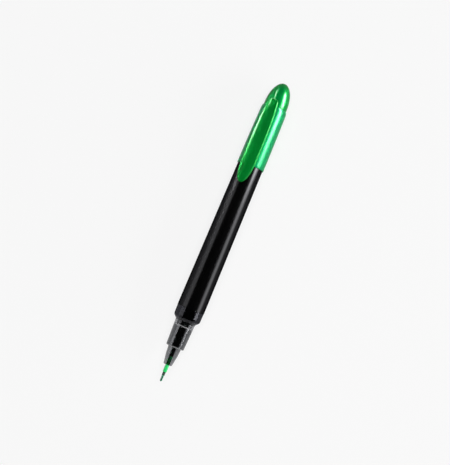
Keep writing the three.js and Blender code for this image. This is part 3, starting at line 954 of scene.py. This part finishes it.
def floor_material():
    """A pale matt floor, seen nearly white by the camera, metal and glass, with the marker's shadow."""
    material = bpy.data.materials.new("pale_floor")
    material.use_nodes = True
    tree = material.node_tree
    tree.nodes.clear()
    lit = tree.nodes.new("ShaderNodeBsdfDiffuse")
    lit.inputs["Color"].default_value = (BACKGROUND, BACKGROUND, BACKGROUND, 1)
    shown = tree.nodes.new("ShaderNodeEmission")
    shown.inputs["Color"].default_value = (BACKGROUND, BACKGROUND, BACKGROUND, 1)
    rays = tree.nodes.new("ShaderNodeLightPath")
    total = rays.outputs["Is Camera Ray"]
    for kind in ("Is Glossy Ray", "Is Transmission Ray"):
        add = tree.nodes.new("ShaderNodeMath")
        add.operation = "ADD"
        add.use_clamp = True
        tree.links.new(total, add.inputs[0])
        tree.links.new(rays.outputs[kind], add.inputs[1])
        total = add.outputs["Value"]
    share = tree.nodes.new("ShaderNodeMath")
    share.operation = "MULTIPLY"
    share.inputs[1].default_value = SHOWN_SHARE
    tree.links.new(total, share.inputs[0])
    mix = tree.nodes.new("ShaderNodeMixShader")
    tree.links.new(share.outputs["Value"], mix.inputs["Fac"])
    tree.links.new(lit.outputs["BSDF"], mix.inputs[1])
    tree.links.new(shown.outputs["Emission"], mix.inputs[2])
    out = tree.nodes.new("ShaderNodeOutputMaterial")
    tree.links.new(mix.outputs["Shader"], out.inputs["Surface"])
    return material


def make_floor():
    """A round floor that sweeps up into a low wall all the way round."""
    mesh = bmesh.new()
    rings = [[mesh.verts.new((0, 0, -FLOOR_DROP))]]
    profile = [(FLOOR_RADIUS * share, 0.0) for share in (0.05, 0.2, 0.5, 1)]
    for step in range(1, SWEEP_STEPS + 1):
        angle = step / SWEEP_STEPS * math.pi / 2
        radius = FLOOR_RADIUS + SWEEP_RADIUS * math.sin(angle)
        profile.append((radius, SWEEP_HEIGHT * (1 - math.cos(angle))))
    for radius, height in profile:
        ring = []
        for side in range(FLOOR_SIDES):
            angle = 2 * math.pi * side / FLOOR_SIDES
            place = (radius * math.cos(angle), radius * math.sin(angle), height - FLOOR_DROP)
            ring.append(mesh.verts.new(place))
        rings.append(ring)
    for first, second in zip(rings, rings[1:]):
        join_rings(mesh, first, second)
    for face in mesh.faces:
        face.normal_update()
        if face.normal.z < 0:
            face.normal_flip()
        face.smooth = True
    data = bpy.data.meshes.new("studio_floor")
    mesh.to_mesh(data)
    mesh.free()
    floor = bpy.data.objects.new("studio_floor", data)
    bpy.context.scene.collection.objects.link(floor)
    floor.data.materials.append(floor_material())


def lamp_object(name, length, width, middle, long_way, glossy):
    """A soft box that faces the marker's axis, with its length along long_way.

    It is either seen in gloss or lights matt surfaces. It is never seen directly or through plastic.
    """
    data = bpy.data.lights.new(name, "AREA")
    data.shape = "RECTANGLE"
    data.size = length
    data.size_y = width
    data.energy = math.pi * length * width
    data.use_nodes = True
    lamp = bpy.data.objects.new(name, data)
    bpy.context.scene.collection.objects.link(lamp)
    lamp.location = middle
    forward = Vector((middle.x, 0, AXIS_Z)) - middle
    forward = (forward - long_way * forward.dot(long_way)).normalized()
    lamp.rotation_euler = Matrix((long_way, long_way.cross(forward), -forward)).transposed().to_euler()
    lamp.visible_camera = False
    lamp.visible_glossy = glossy
    lamp.visible_diffuse = not glossy
    lamp.visible_transmission = False
    return data.node_tree


def add_strip(name, ends, tilts, spread, core, radiances, rise):
    """A long soft box beside the marker, from one X to another, leaning from one tilt to another.

    It is as wide as the angle spread, seen from the marker, and fades towards its edges from a core,
    a share of its width. Its radiance goes from the first to the second over the stretch of X in rise.
    """
    points = []
    for x, tilt in zip(ends, tilts):
        sideways = -LAMP_DISTANCE * math.sin(tilt)
        points.append(Vector((x, sideways, AXIS_Z + LAMP_DISTANCE * math.cos(tilt))))
    way = points[1] - points[0]
    width = 2 * LAMP_DISTANCE * math.tan(spread / 2)
    tree = lamp_object(name, way.length, width, (points[0] + points[1]) / 2, way.normalized(), True)
    place = tree.nodes.new("ShaderNodeSeparateXYZ")
    tree.links.new(tree.nodes.new("ShaderNodeNewGeometry").outputs["Parametric"], place.inputs["Vector"])
    shares = [(x - ends[0]) / (ends[1] - ends[0]) for x in rise]
    along = ramp_node(tree, place.outputs["X"], shares, radiances)
    off_middle = math_node(tree, "SUBTRACT", place.outputs["Y"], 0.5)
    off_middle = math_node(tree, "ABSOLUTE", off_middle, 0.0)
    across = ramp_node(tree, off_middle, (core / 2, 0.5), (1, 0))
    strength = math_node(tree, "MULTIPLY", along, across)
    tree.links.new(strength, tree.nodes["Emission"].inputs["Strength"])


def make_lights():
    deg = math.radians
    add_strip("right_strip", (-0.1, 0.5), (deg(73), deg(54.5)), deg(42), 0.16, (7, 90), (0.065, 0.18))
    add_strip("left_strip", (-0.2, 0.1), (deg(-59), deg(-59)), deg(46), 0.5, (2.2, 0), (0.07, 0.1))
    add_strip(
        "left_short_strip", (0.1, 0.148), (deg(-76), deg(-76)), deg(34), 0.45, (0, 185), (0.104, 0.132))
    add_strip("left_end_strip", (0.22, 0.5), (deg(-44), deg(-60)), deg(9), 0.3, (110, 110), (0.22, 0.5))
    tree = lamp_object("overhead", 0.8, 0.8, Vector((0, 0, 0.9)), Vector((1, 0, 0)), False)
    tree.nodes["Emission"].inputs["Strength"].default_value = OVERHEAD_STRENGTH
    tree = lamp_object("right_fill", 0.9, 0.5, Vector((0, -0.9, 0.25)), Vector((1, 0, 0)), False)
    tree.nodes["Emission"].inputs["Strength"].default_value = RIGHT_FILL_STRENGTH
    world = bpy.data.worlds.new("studio")
    world.use_nodes = True
    world.node_tree.nodes["Background"].inputs["Color"].default_value = (1, 1, 1, 1)
    world.node_tree.nodes["Background"].inputs["Strength"].default_value = WORLD_STRENGTH
    bpy.context.scene.world = world


def make_camera():
    """Nearly straight above the fine end, so that both ends land where the photograph has them."""
    place = Vector((-0.026, 0, 0.376))
    aim = Vector((-0.000367, -0.000846, AXIS_Z))
    roll = math.radians(22.646)
    forward = (aim - place).normalized()
    hint = Vector((math.cos(roll), math.sin(roll), 0))
    up = (hint - forward * hint.dot(forward)).normalized()
    right = forward.cross(up)
    data = bpy.data.cameras.new("camera")
    data.sensor_fit = "AUTO"
    data.angle = math.radians(28.746)
    data.clip_start = 0.01
    camera = bpy.data.objects.new("camera", data)
    bpy.context.scene.collection.objects.link(camera)
    camera.location = place
    camera.rotation_euler = Matrix((right, up, -forward)).transposed().to_euler()
    bpy.context.scene.camera = camera


make_camera()
make_barrel()
make_fine_section()
make_fine_nib()
make_fine_nib_sleeve()
make_fine_wick()
make_ink_reservoir()
make_reservoir_film()
make_broad_section()
make_broad_nib()
make_cap_tube()
make_cap_inner_seal()
make_cap_crown()
make_clip()
make_floor()
make_lights()
bpy.context.scene.view_settings.view_transform = "Standard"
